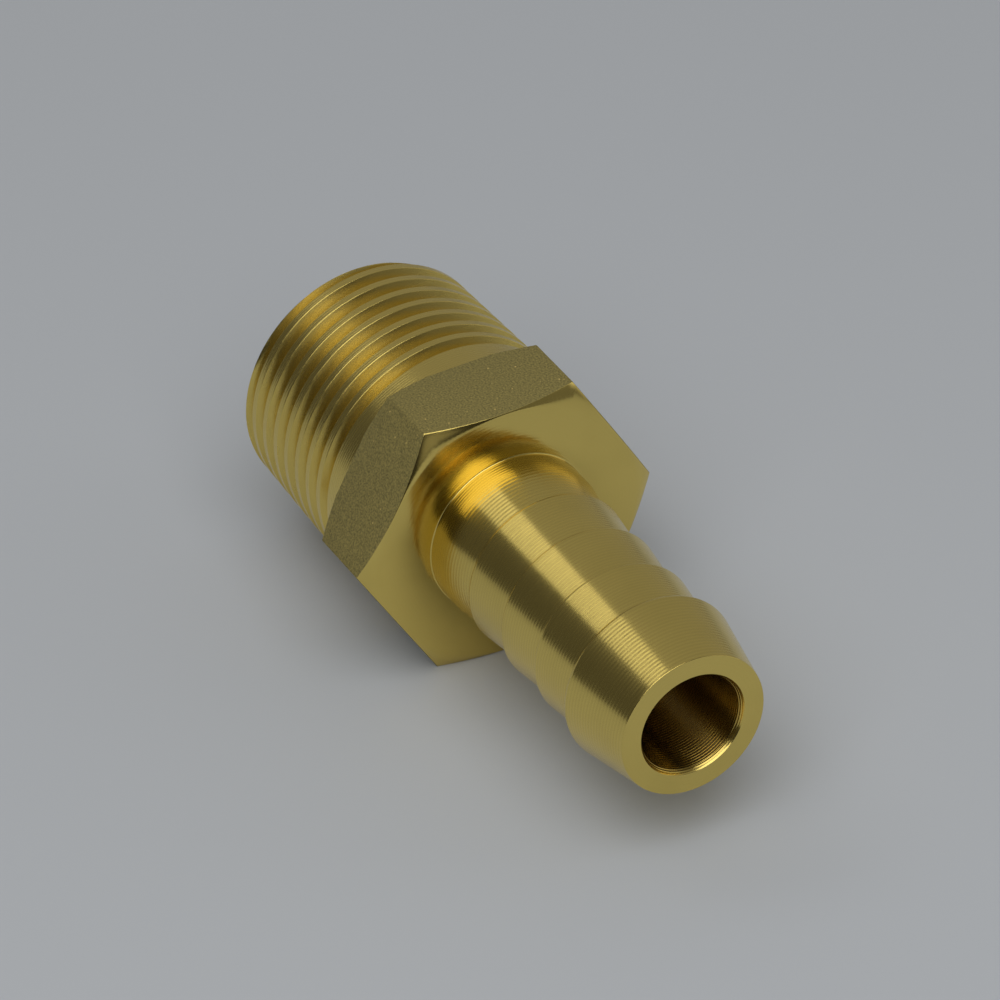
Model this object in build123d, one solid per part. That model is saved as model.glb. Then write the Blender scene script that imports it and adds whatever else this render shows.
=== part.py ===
from build123d import *
from math import atan, cos, degrees, radians, tan
import os

# Hose barb tail in brass, one piece: a barbed tail that a hose is pushed over, a hexagon for
# the spanner and a taper male pipe thread, all on one straight bore. Sizes are in millimetres.
# The axis lies along X, with the mouth of the tail at +X and the thread at -X. The origin is on
# the axis, in the thread-side face of the hexagon. The part lies on one flat of the hexagon.

# Hexagon
across_flats = 21.0
hex_length = 7.0
hex_chamfer_angle = 28.0  # between the chamfer and the end face
tail_side_chamfer_start = -0.1  # the chamfer's inner circle, outwards from the flats' own circle
thread_side_chamfer_start = 0.3

# Hose tail, from the hexagon to the mouth
tail_length = 26.5
neck_length = 2.0
neck_radius = 6.5
barb_pitch = 4.87
barb_radius = 6.45
barb_root_radius = 5.85
lead_length = 6.45  # from the mouth to the top of the first barb
lead_radius = 6.88
mouth_radius = 5.7

# Bore
bore_radius = 3.9
bore_chamfer_width = 0.27
bore_chamfer_depth = 0.5

# Taper male thread, from the hexagon to the end
thread_length = 16.5
thread_pitch = 25.4 / 14
thread_taper = 1 / 16  # on the diameter
thread_angle = 55.0
thread_radius = 10.415  # over the crests, beside the hexagon
thread_end_chamfer = 0.8
crest_flat = 0.6  # width left on each crest between the turns of the groove
groove_clearance = 0.15  # how far the groove's section reaches above the crests
plain_length = 1.5  # beside the hexagon, where the groove has left the metal
run_in_turns = 1.5  # turns of groove before the end face
fade_turns = 0.4  # turns over which the groove rises out of the metal
crest_angle = 82.0  # about the axis from +Y towards +Z, where a crest meets the end face

# Places along the axis
mouth_x = hex_length + tail_length
neck_end_x = hex_length + neck_length
first_top_x = mouth_x - lead_length
end_x = -thread_length

# Thread form: a groove with a sharp root, between crests that are flat
flank_spread = tan(radians(thread_angle / 2))  # half the groove's width for each unit of its depth
thread_depth = (thread_pitch - crest_flat) / 2 / flank_spread
cut_depth = thread_depth + groove_clearance
taper_angle = degrees(atan(thread_taper / 2))


def crest_radius(x):
    return thread_radius + x * thread_taper / 2


def barb_outline():
    """Points along the barbs from the neck to the first top, each a slow rise and a sharp drop."""
    points = [(first_top_x, lead_radius), (first_top_x, barb_root_radius)]
    top_x = first_top_x - barb_pitch
    while top_x > neck_end_x:
        points += [(top_x, barb_radius), (top_x, barb_root_radius)]
        top_x -= barb_pitch
    return points[::-1]


def turned_blank():
    """Everything that is turned, before the thread is cut: thread cone, neck, barbs and mouth."""
    shoulder_radius = (neck_radius + across_flats / 2) / 2  # anywhere inside the hexagon
    outline = Polyline(
        (end_x, 0),
        (end_x, crest_radius(end_x) - thread_end_chamfer),
        (end_x + thread_end_chamfer, crest_radius(end_x + thread_end_chamfer)),
        (0, crest_radius(0)),
        (0, shoulder_radius),
        (hex_length, shoulder_radius),
        (hex_length, neck_radius),
        (neck_end_x, neck_radius),
        *barb_outline(),
        (mouth_x, mouth_radius),
        (mouth_x, 0),
        close=True,
    )
    return revolve(make_face(outline), Axis.X)


def hexagon():
    """The hexagon, flat side up, its corners cut by a cone at each end."""
    section = Plane.YZ * RegularPolygon(across_flats / 2, 6, major_radius=False)
    rise = hex_length / tan(radians(hex_chamfer_angle))
    tail_side = across_flats / 2 + tail_side_chamfer_start
    thread_side = across_flats / 2 + thread_side_chamfer_start
    tail_cone = make_face(
        Polyline((0, 0), (0, tail_side + rise), (hex_length, tail_side), (hex_length, 0), close=True)
    )
    thread_cone = make_face(
        Polyline((0, 0), (0, thread_side), (hex_length, thread_side + rise), (hex_length, 0), close=True)
    )
    return extrude(section, hex_length) & revolve(tail_cone, Axis.X) & revolve(thread_cone, Axis.X)


def bore():
    """The straight bore, opened by a small chamfer at each end."""
    open_radius = bore_radius + bore_chamfer_width
    outline = Polyline(
        (end_x, 0),
        (end_x, open_radius),
        (end_x + bore_chamfer_depth, bore_radius),
        (mouth_x - bore_chamfer_depth, bore_radius),
        (mouth_x, open_radius),
        (mouth_x, 0),
        close=True,
    )
    return revolve(make_face(outline), Axis.X)


def groove_section():
    """The groove's section where the run-in starts, with its place on its own axis and its root."""
    start = -run_in_turns * thread_pitch
    root = crest_radius(end_x + start) - thread_depth
    top = root + cut_depth
    half_width = cut_depth * flank_spread
    corners = [(root, 0, start), (top, 0, start + half_width), (top, 0, start - half_width)]
    return make_face(Polyline(*corners, close=True)), start, root


def helical_path(start, turns, radius, cone_angle):
    """A right-handed helix on a cone, one edge for each turn, and the radius that it ends at."""
    slant_pitch = thread_pitch / cos(radians(cone_angle))
    edges = []
    while turns > 0:
        height = min(turns, 1) * thread_pitch
        edges += Helix(slant_pitch, height, radius, center=(0, 0, start), cone_angle=cone_angle).edges()
        radius += height * tan(radians(cone_angle))
        start += height
        turns -= 1
    return Wire(edges), radius


def thread_groove():
    """The thread's groove: turns on the taper, then a part turn that leaves the metal."""
    section, start, root = groove_section()
    fade_height = fade_turns * thread_pitch
    fade_start = thread_length - plain_length - fade_height
    fade_angle = degrees(atan(cut_depth / fade_height))
    turns = (fade_start - start) / thread_pitch
    path, fade_radius = helical_path(start, turns, root, taper_angle)
    groove = sweep(section, path, is_frenet=True)
    fade_path = helical_path(fade_start, fade_turns, fade_radius, fade_angle)[0]
    fade_path = Rot(0, 0, 360 * turns) * fade_path
    end_face = groove.faces().filter_by(GeomType.PLANE).sort_by(Axis.Z)[-1]
    fade = sweep(end_face, fade_path, is_frenet=True)
    place = Plane(origin=(end_x, 0, 0), x_dir=(0, 1, 0), z_dir=(1, 0, 0)) * Rot(0, 0, crest_angle)
    return [place * groove, place * fade]


hose_tail = turned_blank() + hexagon() - bore()
for cut in thread_groove():
    hose_tail -= cut

os.makedirs("parts", exist_ok=True)
export_step(hose_tail, "parts/hose_tail.step")
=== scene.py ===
from math import atan2, ceil, cos, hypot, pi, radians, sin, tan

import bmesh
import bpy
from mathutils import Matrix, Vector


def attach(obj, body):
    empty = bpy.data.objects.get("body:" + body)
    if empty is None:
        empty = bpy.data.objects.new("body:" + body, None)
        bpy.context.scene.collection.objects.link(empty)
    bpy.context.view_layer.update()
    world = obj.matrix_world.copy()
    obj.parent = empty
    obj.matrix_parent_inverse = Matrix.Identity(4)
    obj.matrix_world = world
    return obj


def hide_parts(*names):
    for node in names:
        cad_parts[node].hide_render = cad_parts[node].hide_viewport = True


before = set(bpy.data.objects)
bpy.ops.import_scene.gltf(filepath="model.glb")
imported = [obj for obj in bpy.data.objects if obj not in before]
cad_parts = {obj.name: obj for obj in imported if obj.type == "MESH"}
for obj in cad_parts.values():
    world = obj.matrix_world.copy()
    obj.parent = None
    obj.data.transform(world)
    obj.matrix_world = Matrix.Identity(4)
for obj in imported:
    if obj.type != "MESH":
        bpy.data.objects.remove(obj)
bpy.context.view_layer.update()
mm = 0.001

# everything is modelled in millimetres, then scaled once into the frame's metres
turning = {
    "steps": 180,  # round the axis
    "longestStep": 0.8,  # along a turned outline
    "arcSteps": 5,
    "support": 0.03,  # a loop this far from each rounding holds its shading
    "sharpAngle": 35,
    "cutDistance": 1e-5,
    "mergeDistance": 0.002,
}

hexNut = {
    "acrossFlats": 21.0,
    "length": 7.0,
    "chamferAngle": 28.0,
    "frontCircle": 10.4,  # radius where the tail-side chamfer starts
    "rearCircle": 10.8,
    "blankRadius": 12.6,  # a little past the corners, which the flats then cut
    "edge": 0.07,  # worn edge round each flat
    "edgeSegments": 3,
    "flatLean": 0.01,  # a face leaning less than this to the axis is a flat, and stays forged
}

barbs = {
    "length": 26.5,
    "neckRadius": 6.5,
    "neckLength": 2.0,
    "neckFoot": 0.1,
    "seamMargin": 0.3,  # from the neck's foot to the circle where its mesh meets the hexagon's
    "pitch": 4.87,
    "count": 3,
    "topRadius": 6.45,
    "rootRadius": 5.85,
    "topEdge": 0.16,
    "rootEdge": 0.1,
    "leadLength": 6.45,
    "leadRadius": 6.88,
    "leadEdge": 0.35,
    "mouthRadius": 5.7,
    "mouthEdge": 0.06,
}

boreHole = {
    "radius": 3.9,
    "chamferWidth": 0.27,
    "chamferDepth": 0.5,
    "outerEdge": 0.03,
    "innerEdge": 0.05,
}

thread = {
    "length": 16.5,
    "pitch": 25.4 / 14,
    "taper": 1 / 16,  # on the diameter
    "angle": 55.0,
    "radius": 10.415,  # over the crests, beside the hexagon
    "endChamfer": 0.8,
    "crestFlat": 0.6,
    "crestEdge": 0.05,
    "rootEdge": 0.08,
    "plainLength": 1.5,
    "fadeTurns": 0.4,
    "clearance": 0.15,
    "crestAngle": 82.0,  # where a crest meets the end face
    "flankSteps": 5,
    "faceSeam": 8.2,  # circle where the end face meets the rest of the turning
    "workRadius": 10,  # over the crests, until the taper is put in
    "runIn": 1.5,  # turns before the end face, which then cuts them off
    "spareTurns": 3,
    "mergeDistance": 0.004,
}


def roundedOutline(corners):
    # corners are (along, radius, rounding); each rounding becomes an arc between two support points
    points = []
    for i, (x, r, rounding) in enumerate(corners):
        here = Vector((x, r))
        if rounding == 0:
            points.append(here)
            continue
        before = (Vector(corners[i - 1][:2]) - here).normalized()
        after = (Vector(corners[i + 1][:2]) - here).normalized()
        half = before.angle(after) / 2
        reach = rounding / tan(half)
        middle = here + (before + after).normalized() * rounding / sin(half)
        arm = here + before * reach - middle
        sweep = arm.angle_signed(here + after * reach - middle)
        points.append(here + before * (reach + turning["support"]))
        for step in range(turning["arcSteps"] + 1):
            turned = arm.copy()
            turned.rotate(Matrix.Rotation(-sweep * step / turning["arcSteps"], 2))
            points.append(middle + turned)
        points.append(here + after * (reach + turning["support"]))
    return points


def divided(points, longest):
    # long runs get points between, so that the spun faces stay short
    out = [points[0]]
    for a, b in zip(points, points[1:]):
        parts = max(1, round((b - a).length / longest))
        out += [a.lerp(b, part / parts) for part in range(1, parts + 1)]
    return out


def addChain(bm, points):
    verts = [bm.verts.new((p.x, p.y, 0)) for p in points]
    edges = [bm.edges.new(pair) for pair in zip(verts, verts[1:])]
    return verts + edges


def spinRound(bm, points):
    bmesh.ops.spin(
        bm, geom=addChain(bm, points), axis=(1, 0, 0), cent=(0, 0, 0),
        angle=2 * pi, steps=turning["steps"], use_merge=True,
    )


def neckSeam():
    return barbs["neckRadius"] + barbs["neckFoot"] + barbs["seamMargin"]


def tailBmesh():
    b, hole = barbs, boreHole
    mouthX = hexNut["length"] + b["length"]
    topX = mouthX - b["leadLength"]
    neckEnd = hexNut["length"] + b["neckLength"]
    corners = [
        (hexNut["length"], neckSeam(), 0),
        (hexNut["length"], b["neckRadius"], b["neckFoot"]),
        (neckEnd, b["neckRadius"], 0),
    ]
    for k in range(b["count"], 0, -1):
        x = topX - k * b["pitch"]
        corners.append((x, b["rootRadius"], b["rootEdge"]))
        corners.append((x, b["topRadius"], b["topEdge"]))
    corners.append((topX, b["rootRadius"], b["rootEdge"]))
    corners.append((topX, b["leadRadius"], b["leadEdge"]))
    corners.append((mouthX, b["mouthRadius"], b["mouthEdge"]))
    corners.append((mouthX, hole["radius"] + hole["chamferWidth"], hole["outerEdge"]))
    corners.append((mouthX - hole["chamferDepth"], hole["radius"], hole["innerEdge"]))
    corners.append((-thread["length"] + hole["chamferDepth"], hole["radius"], hole["innerEdge"]))
    corners.append((-thread["length"], hole["radius"] + hole["chamferWidth"], hole["outerEdge"]))
    corners.append((-thread["length"], thread["faceSeam"], 0))
    bm = bmesh.new()
    spinRound(bm, divided(roundedOutline(corners), turning["longestStep"]))
    return bm


def hexBmesh():
    h = hexNut
    rise = tan(radians(h["chamferAngle"]))
    front = h["length"] - (h["blankRadius"] - h["frontCircle"]) * rise
    rear = (h["blankRadius"] - h["rearCircle"]) * rise
    corners = [
        (h["length"], neckSeam()),
        (h["length"], h["frontCircle"]),
        (front, h["blankRadius"]),
        (rear, h["blankRadius"]),
        (0, h["rearCircle"]),
        (0, thread["radius"]),
    ]
    bm = bmesh.new()
    spinRound(bm, [Vector(corner) for corner in corners])
    for k in range(6):
        angle = radians(30 + 60 * k)
        out = Vector((0, cos(angle), sin(angle)))
        cut = bmesh.ops.bisect_plane(
            bm, geom=bm.verts[:] + bm.edges[:] + bm.faces[:], dist=turning["cutDistance"],
            plane_co=out * h["acrossFlats"] / 2, plane_no=out, clear_outer=True,
        )
        rim = [e for e in cut["geom_cut"] if isinstance(e, bmesh.types.BMEdge)]
        bmesh.ops.contextual_create(bm, geom=rim)
    bmesh.ops.recalc_face_normals(bm, faces=bm.faces)
    for face in bm.faces:
        if abs(face.normal.x) < h["flatLean"]:
            face.material_index = 1
    edges = [e for e in bm.edges if any(face.material_index == 1 for face in e.link_faces)]
    bmesh.ops.bevel(
        bm, geom=edges, offset=h["edge"], offset_type="OFFSET", segments=h["edgeSegments"],
        profile=0.5, affect="EDGES", material=-1, clamp_overlap=False,
    )
    return bm


def crestRadius(x):
    return thread["radius"] + x * thread["taper"] / 2


def threadBmesh():
    t = thread
    spread = tan(radians(t["angle"] / 2))
    depth = (t["pitch"] - t["crestFlat"]) / 2 / spread
    crest = t["workRadius"]
    half = t["pitch"] / 2
    flat = t["crestFlat"] / 2
    # one pitch of the outline, from crest to crest
    corners = [
        (-half, crest, 0),
        (flat - half, crest, t["crestEdge"]),
        (0, crest - depth, t["rootEdge"]),
        (half - flat, crest, t["crestEdge"]),
        (half, crest, 0),
    ]
    outline = divided(roundedOutline(corners), depth / t["flankSteps"])
    start = -t["length"] - t["runIn"] * t["pitch"]
    bm = bmesh.new()
    chain = addChain(bm, [p + Vector((start, 0)) for p in outline])
    bmesh.ops.rotate(
        bm, verts=bm.verts, cent=(0, 0, 0), matrix=Matrix.Rotation(radians(t["crestAngle"]), 3, "X"),
    )
    bmesh.ops.spin(
        bm, geom=chain, axis=(1, 0, 0), cent=(0, 0, 0), angle=2 * pi, steps=turning["steps"],
        dvec=(t["pitch"] / turning["steps"], 0, 0),
    )
    oneTurn = bm.verts[:] + bm.edges[:] + bm.faces[:]
    for turn in range(1, ceil(t["length"] / t["pitch"]) + t["spareTurns"]):
        copied = bmesh.ops.duplicate(bm, geom=oneTurn)["geom"]
        verts = [item for item in copied if isinstance(item, bmesh.types.BMVert)]
        bmesh.ops.translate(bm, verts=verts, vec=(turn * t["pitch"], 0, 0))
    bmesh.ops.remove_doubles(bm, verts=bm.verts, dist=t["mergeDistance"])
    for end, out in ((-t["length"], -1), (0, 1)):
        bmesh.ops.bisect_plane(
            bm, geom=bm.verts[:] + bm.edges[:] + bm.faces[:], dist=turning["cutDistance"],
            plane_co=(end, 0, 0), plane_no=(out, 0, 0), clear_outer=True,
        )
    # the groove rises out of the metal near the hexagon, the whole tapers, and the end is chamfered
    fadeLength = t["fadeTurns"] * t["pitch"]
    fadeEnd = -t["plainLength"]
    endRadius = crestRadius(-t["length"]) - t["endChamfer"]
    for v in bm.verts:
        x = v.co.x
        angle = atan2(v.co.z, v.co.y)
        phase = (x + t["length"]) / t["pitch"] - (angle - radians(t["crestAngle"])) / (2 * pi)
        grooveX = x - (phase % 1 - 0.5) * t["pitch"]
        lift = (grooveX - fadeEnd + fadeLength) / fadeLength * (depth + t["clearance"])
        under = max(0, crest - hypot(v.co.y, v.co.z) - max(0, lift))
        radius = min(crestRadius(x) - under, endRadius + x + t["length"])
        scale = radius / hypot(v.co.y, v.co.z)
        v.co.y *= scale
        v.co.z *= scale
    # the end face grows inwards from the rim
    endX = turning["mergeDistance"] - t["length"]
    rim = [e for e in bm.edges if e.is_boundary and all(v.co.x < endX for v in e.verts)]
    grown = bmesh.ops.extrude_edge_only(bm, edges=rim)["geom"]
    for v in grown:
        if isinstance(v, bmesh.types.BMVert):
            scale = t["faceSeam"] / hypot(v.co.y, v.co.z)
            v.co.y *= scale
            v.co.z *= scale
    return bm


def addPart(whole, part):
    mesh = bpy.data.meshes.new("part")
    part.to_mesh(mesh)
    part.free()
    whole.from_mesh(mesh)
    bpy.data.meshes.remove(mesh)


def hoseTailObject():
    whole = bmesh.new()
    addPart(whole, tailBmesh())
    addPart(whole, hexBmesh())
    bmesh.ops.remove_doubles(whole, verts=whole.verts, dist=turning["mergeDistance"])
    turnedRims = [v for v in whole.verts if v.is_boundary]
    addPart(whole, threadBmesh())
    # the thread's rims have a few points more than the turned ones, and each goes to the nearest of those
    turned = set(turnedRims)
    threadRims = [v for v in whole.verts if v.is_boundary and v not in turned]
    nearest = {v: min(turnedRims, key=lambda rim: (rim.co - v.co).length) for v in threadRims}
    bmesh.ops.weld_verts(whole, targetmap=nearest)
    bmesh.ops.recalc_face_normals(whole, faces=whole.faces)
    bmesh.ops.scale(whole, vec=(mm, mm, mm), verts=whole.verts)
    mesh = bpy.data.meshes.new("hoseTail")
    for face in whole.faces:
        face.smooth = True
    whole.to_mesh(mesh)
    whole.free()
    mesh.set_sharp_from_angle(angle=radians(turning["sharpAngle"]))
    obj = bpy.data.objects.new("hoseTail", mesh)
    bpy.context.scene.collection.objects.link(obj)
    return obj


turnedLook = {
    # the ring ridges carry a painted highlight and the ring grooves painted shade
    "ridgeHighlightColour": (0.78, 0.602, 0.168),
    "grooveShadeColour": (0.71, 0.546, 0.152),
    "dullColour": (0.62, 0.475, 0.13),
    "dullShare": 0.4,
    "dullFrom": 0.45,
    "dullFull": 0.75,
    "roughness": 0.225,
    "threadRoughness": 0.26,  # the whole thread is duller than the tail
    "threadFull": -0.1,  # that finish starts at the hexagon and is full here, along the axis
    "faceRoughness": 0.13,  # end faces are brighter
    "unevenGloss": 0.2,
    "anisotropy": 0.6,  # gloss stretched across the tool rings
    "faceFrom": 0.4,  # how far a surface has to turn to the axis to count as an end face
    "faceFull": 0.8,
    "faceSpread": 0.83,  # rings on an end face lie wider apart than on a side
    "ringSpacing": 0.25,
    "ringHeight": 0.0032,
    "wornRings": 0.7,  # share of the rings left in worn patches
    "wornFrom": 0.4,
    "wornFull": 0.6,
    "faceRings": 0.12,  # share of the rings left on end faces and thread flanks
    "boreRings": 6.5,  # the drilled bore's rings are coarser, and its colour is darkened as painted shade
    "boreShadeColour": (0.46, 0.315, 0.075),
    "boreFrom": 4.1,  # radius where the bore's coarser rings and painted shade start, and where they are full
    "boreFull": 3.93,
    "scratchWidth": 0.11,
    "scratchLength": 2.5,
    "scratchHeight": 0.002,
    "patchSize": 6.0,
}

forgedLook = {
    "colour": (0.385, 0.31, 0.095),
    "darkColour": (0.17, 0.142, 0.048),
    "speckColour": (0.85, 0.62, 0.2),
    "roughness": 0.65,
    "metal": 0.2,  # the rest is a dull skin that scatters light
    "specular": 0.25,
    "grainSize": 0.14,
    "grainHeight": 0.035,
    "grainDark": 0.3,  # grain level of the dark colour, and of the full one
    "grainPale": 0.7,
    "speckSize": 0.9,
    "speckShare": 0.1,
    "speckFull": 0.02,
}


def newMaterial(name):
    material = bpy.data.materials.new(name)
    material.use_nodes = True
    tree = material.node_tree
    return material, tree, tree.nodes["Principled BSDF"]


def addNode(tree, kind, inputs=None, **settings):
    # inputs given as a socket are linked, others are set
    node = tree.nodes.new("ShaderNode" + kind)
    for name, value in settings.items():
        setattr(node, name, value)
    for name, value in (inputs or {}).items():
        if isinstance(value, bpy.types.NodeSocket):
            tree.links.new(value, node.inputs[name])
        else:
            node.inputs[name].default_value = value
    return node


def mathNode(tree, operation, a, b=0.0):
    return addNode(tree, "Math", {0: a, 1: b}, operation=operation).outputs[0]


def mapped(tree, value, start=0.0, end=1.0, low=0.0, high=1.0, **settings):
    # start becomes low and end becomes high, and what lies outside stays at those
    ranges = {"Value": value, "From Min": start, "From Max": end, "To Min": low, "To Max": high}
    return addNode(tree, "MapRange", ranges, **settings).outputs[0]


def noise(tree, place, size, detail):
    return addNode(tree, "TexNoise", {"Vector": place, "Scale": 1 / size, "Detail": detail}).outputs[0]


def mixColours(tree, share, a, b):
    # sockets 6, 7 and 2 are the ones for colours
    node = addNode(tree, "Mix", {"Factor": share}, data_type="RGBA")
    for socket, colour in ((node.inputs[6], a), (node.inputs[7], b)):
        if isinstance(colour, bpy.types.NodeSocket):
            tree.links.new(colour, socket)
        else:
            socket.default_value = (*colour, 1)
    return node.outputs[2]


def ringCoordinates(tree):
    # both in millimetres: one grows along the axis on sides and outwards on end faces
    coords = addNode(tree, "TexCoord")
    split = addNode(tree, "SeparateXYZ", {0: coords.outputs["Object"]})
    y, z = split.outputs["Y"], split.outputs["Z"]
    squares = mathNode(tree, "ADD", mathNode(tree, "MULTIPLY", y, y), mathNode(tree, "MULTIPLY", z, z))
    radius = mathNode(tree, "SQRT", squares)
    outwards = mathNode(tree, "MULTIPLY", radius, turnedLook["faceSpread"])
    along = mathNode(tree, "ADD", split.outputs["X"], outwards)
    back = mathNode(tree, "MULTIPLY", z, -1)
    around = addNode(tree, "CombineXYZ", {"Y": back, "Z": y}).outputs[0]
    along = mathNode(tree, "MULTIPLY", along, 1 / mm)
    radius = mathNode(tree, "MULTIPLY", radius, 1 / mm)
    return coords, along, radius, around


def scratches(tree, place, along):
    # streaks that run round the axis, fine across and long the other way
    look = turnedLook
    across = mathNode(tree, "DIVIDE", along, look["scratchWidth"])
    split = addNode(tree, "SeparateXYZ", {0: place})
    y = mathNode(tree, "DIVIDE", split.outputs["Y"], look["scratchLength"] * mm)
    z = mathNode(tree, "DIVIDE", split.outputs["Z"], look["scratchLength"] * mm)
    spread = addNode(tree, "CombineXYZ", {"X": across, "Y": y, "Z": z}).outputs[0]
    return noise(tree, spread, 1.0, 2.0)


def turnedMaterial():
    look = turnedLook
    material, tree, shader = newMaterial("turnedBrass")
    coords, along, radius, around = ringCoordinates(tree)
    place = coords.outputs["Object"]
    facing = addNode(tree, "SeparateXYZ", {0: coords.outputs["Normal"]}).outputs["X"]
    axial = addNode(tree, "SeparateXYZ", {0: place}).outputs["X"]
    onFace = mapped(tree, mathNode(tree, "ABSOLUTE", facing), look["faceFrom"], look["faceFull"])
    onThread = mapped(tree, axial, 0.0, look["threadFull"] * mm)
    inBore = mapped(tree, radius, look["boreFrom"], look["boreFull"])
    rings = mathNode(tree, "SINE", mathNode(tree, "MULTIPLY", along, 2 * pi / look["ringSpacing"]))
    rings = mathNode(tree, "MULTIPLY", rings, mapped(tree, onFace, low=1.0, high=look["faceRings"]))
    streaks = scratches(tree, place, along)
    patches = noise(tree, place, look["patchSize"] * mm, 3.0)

    # colour: painted highlight on the ring ridges, painted shade in the ring grooves, dull patches, and
    # painted shade in the bore
    colour = mixColours(tree, mapped(tree, rings, -1.0), look["grooveShadeColour"], look["ridgeHighlightColour"])
    dull = mapped(tree, patches, look["dullFrom"], look["dullFull"], high=look["dullShare"])
    colour = mixColours(tree, dull, colour, look["dullColour"])
    # painted shade darkens the bore
    colour = mixColours(tree, inBore, colour, look["boreShadeColour"])

    # relief: rings, worn in patches and far stronger in the bore, with scratches
    worn = mapped(tree, patches, look["wornFrom"], look["wornFull"], 1.0, look["wornRings"])
    ringRelief = mapped(tree, inBore, low=worn, high=look["boreRings"])
    scratched = mathNode(tree, "MULTIPLY", streaks, look["scratchHeight"] / look["ringHeight"])
    height = mathNode(tree, "ADD", mathNode(tree, "MULTIPLY", rings, ringRelief), scratched)
    bump = addNode(tree, "Bump", {"Height": height, "Distance": look["ringHeight"] * mm, "Strength": 1.0})

    # gloss: brighter on faces, duller on the thread, uneven along the streaks
    gloss = mapped(tree, onFace, low=look["roughness"], high=look["faceRoughness"])
    gloss = mapped(tree, onThread, low=gloss, high=look["threadRoughness"])
    uneven = mapped(tree, streaks, low=1 - look["unevenGloss"], high=1 + look["unevenGloss"])
    tree.links.new(colour, shader.inputs["Base Color"])
    tree.links.new(bump.outputs[0], shader.inputs["Normal"])
    tree.links.new(around, shader.inputs["Tangent"])
    tree.links.new(mathNode(tree, "MULTIPLY", gloss, uneven), shader.inputs["Roughness"])
    shader.inputs["Metallic"].default_value = 1
    shader.inputs["Anisotropic"].default_value = look["anisotropy"]
    shader.inputs["Anisotropic Rotation"].default_value = 0.25  # a quarter turn from the tangent
    return material


def forgedMaterial():
    look = forgedLook
    material, tree, shader = newMaterial("forgedBrass")
    place = addNode(tree, "TexCoord").outputs["Object"]
    grain = noise(tree, place, look["grainSize"] * mm, 3.0)
    cells = addNode(tree, "TexVoronoi", {"Vector": place, "Scale": 1 / (look["speckSize"] * mm)})
    specks = mapped(tree, cells.outputs["Distance"], look["speckShare"], look["speckFull"])
    pale = mapped(tree, grain, look["grainDark"], look["grainPale"])
    colour = mixColours(tree, pale, look["darkColour"], look["colour"])
    colour = mixColours(tree, specks, colour, look["speckColour"])
    bump = addNode(tree, "Bump", {"Height": grain, "Distance": look["grainHeight"] * mm, "Strength": 1.0})
    tree.links.new(colour, shader.inputs["Base Color"])
    tree.links.new(bump.outputs[0], shader.inputs["Normal"])
    shader.inputs["Metallic"].default_value = look["metal"]
    shader.inputs["Roughness"].default_value = look["roughness"]
    shader.inputs["Specular IOR Level"].default_value = look["specular"]
    return material


hoseTail = hoseTailObject()
hoseTail.data.materials.append(turnedMaterial())
hoseTail.data.materials.append(forgedMaterial())
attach(hoseTail, "root")
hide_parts("hose_tail")
print("hose tail:", len(hoseTail.data.vertices), "vertices")

studio = {
    "floorSize": 3000,
    "floorColour": (0.59, 0.615, 0.643),
    "cameraPosition": (375.52, -188.08, 308.14),
    "cameraAim": (2.529, 1.559, -0.589),
    "cameraRoll": -2.885,
    "lens": 256.83,
    "sensorWidth": 36,
    "floorRoughness": 0.6,
    "floorSpecular": 0.2,
}


def addFloor():
    bm = bmesh.new()
    bmesh.ops.create_grid(bm, x_segments=1, y_segments=1, size=studio["floorSize"] * mm / 2)
    bmesh.ops.translate(bm, verts=bm.verts, vec=(0, 0, -hexNut["acrossFlats"] / 2 * mm))
    mesh = bpy.data.meshes.new("floor")
    bm.to_mesh(mesh)
    bm.free()
    floor = bpy.data.objects.new("floor", mesh)
    bpy.context.scene.collection.objects.link(floor)
    material, tree, shader = newMaterial("paleFloor")
    shader.inputs["Base Color"].default_value = (*studio["floorColour"], 1)
    shader.inputs["Roughness"].default_value = studio["floorRoughness"]
    shader.inputs["Specular IOR Level"].default_value = studio["floorSpecular"]
    mesh.materials.append(material)


def direction(azimuth, elevation):
    a, e = radians(azimuth), radians(elevation)
    return Vector((cos(e) * cos(a), cos(e) * sin(a), sin(e)))


# azimuths are about +Z from +X, all seen from the origin
softboxes = {
    "key": {
        "azimuth": -146, "elevation": 53, "roll": -41, "distance": 1.2,
        "width": 0.6, "height": 0.33, "radiance": 0.88,
    },
    "main": {
        "azimuth": -32, "elevation": 57, "roll": 0, "distance": 0.6,
        "width": 0.7, "height": 0.6, "radiance": 1.75,
    },
}

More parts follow.
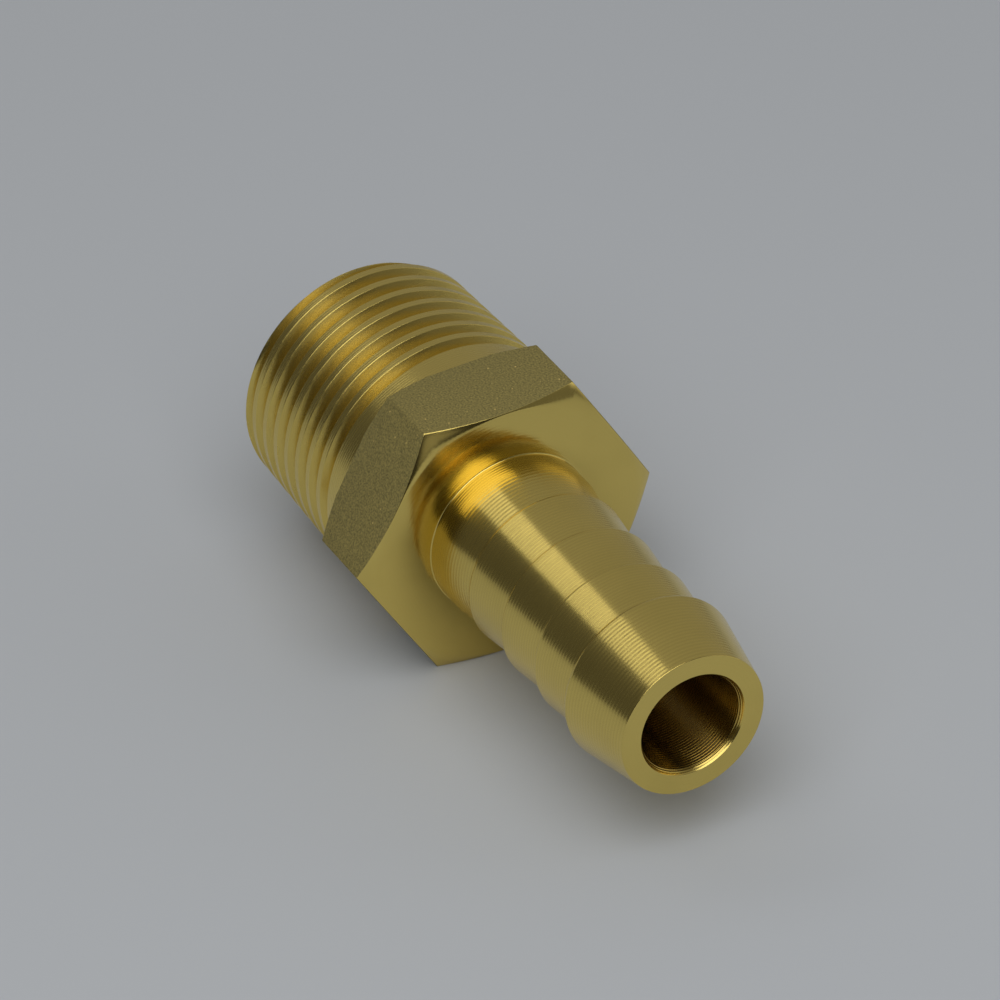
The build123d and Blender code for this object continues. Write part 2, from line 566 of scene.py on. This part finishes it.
# soft patches of the room round the object: full inside the first angle, gone past the second
roomLevel = 0.15
roomPatches = {
    "pale wall on the right": {"azimuth": 80, "elevation": 22, "full": 13, "gone": 32, "level": 0.95},
    "back wall": {"azimuth": 130, "elevation": 40, "full": 42, "gone": 62, "level": 0.28},
    "dark wall on the left": {"azimuth": -122, "elevation": 8, "full": 25, "gone": 42, "level": 0.08},
    "dark gap in front": {"azimuth": -32, "elevation": 8, "full": 48, "gone": 62, "level": 0.03},
    "glow in front": {"azimuth": -5, "elevation": 11, "full": 5, "gone": 15, "level": 0.25},
}


def addSoftboxes():
    for name, box in softboxes.items():
        data = bpy.data.lights.new(name, "AREA")
        data.shape = "RECTANGLE"
        data.size = box["width"]
        data.size_y = box["height"]
        data.energy = box["radiance"] * pi * box["width"] * box["height"]
        lamp = bpy.data.objects.new(name, data)
        toLight = direction(box["azimuth"], box["elevation"])
        turn = toLight.to_track_quat("Z", "Y").to_matrix()
        turn = turn @ Matrix.Rotation(radians(box["roll"]), 3, "Z")
        lamp.matrix_world = Matrix.Translation(toLight * box["distance"]) @ turn.to_4x4()
        bpy.context.scene.collection.objects.link(lamp)


def addWorld():
    world = bpy.data.worlds.new("studio")
    bpy.context.scene.world = world
    world.use_nodes = True
    tree = world.node_tree
    look = addNode(tree, "TexCoord").outputs["Generated"]
    level = roomLevel
    for patch in roomPatches.values():
        centre = direction(patch["azimuth"], patch["elevation"])
        closeness = addNode(tree, "VectorMath", {0: look, 1: centre}, operation="DOT_PRODUCT")
        gone, full = cos(radians(patch["gone"])), cos(radians(patch["full"]))
        share = mapped(tree, closeness.outputs["Value"], gone, full, interpolation_type="SMOOTHSTEP")
        level = mapped(tree, share, low=level, high=patch["level"])
    tree.links.new(level, tree.nodes["Background"].inputs["Color"])


def addCamera():
    data = bpy.data.cameras.new("view")
    data.lens = studio["lens"]
    data.sensor_width = studio["sensorWidth"]
    camera = bpy.data.objects.new("view", data)
    place = Vector(studio["cameraPosition"]) * mm
    aim = Vector(studio["cameraAim"]) * mm
    turn = (aim - place).to_track_quat("-Z", "Y").to_matrix()
    turn = turn @ Matrix.Rotation(radians(studio["cameraRoll"]), 3, "Z")
    camera.matrix_world = Matrix.Translation(place) @ turn.to_4x4()
    bpy.context.scene.collection.objects.link(camera)
    bpy.context.scene.camera = camera


addFloor()
addSoftboxes()
addWorld()
addCamera()
bpy.context.scene.view_settings.view_transform = "Standard"
print("studio: floor, softboxes, world and camera")
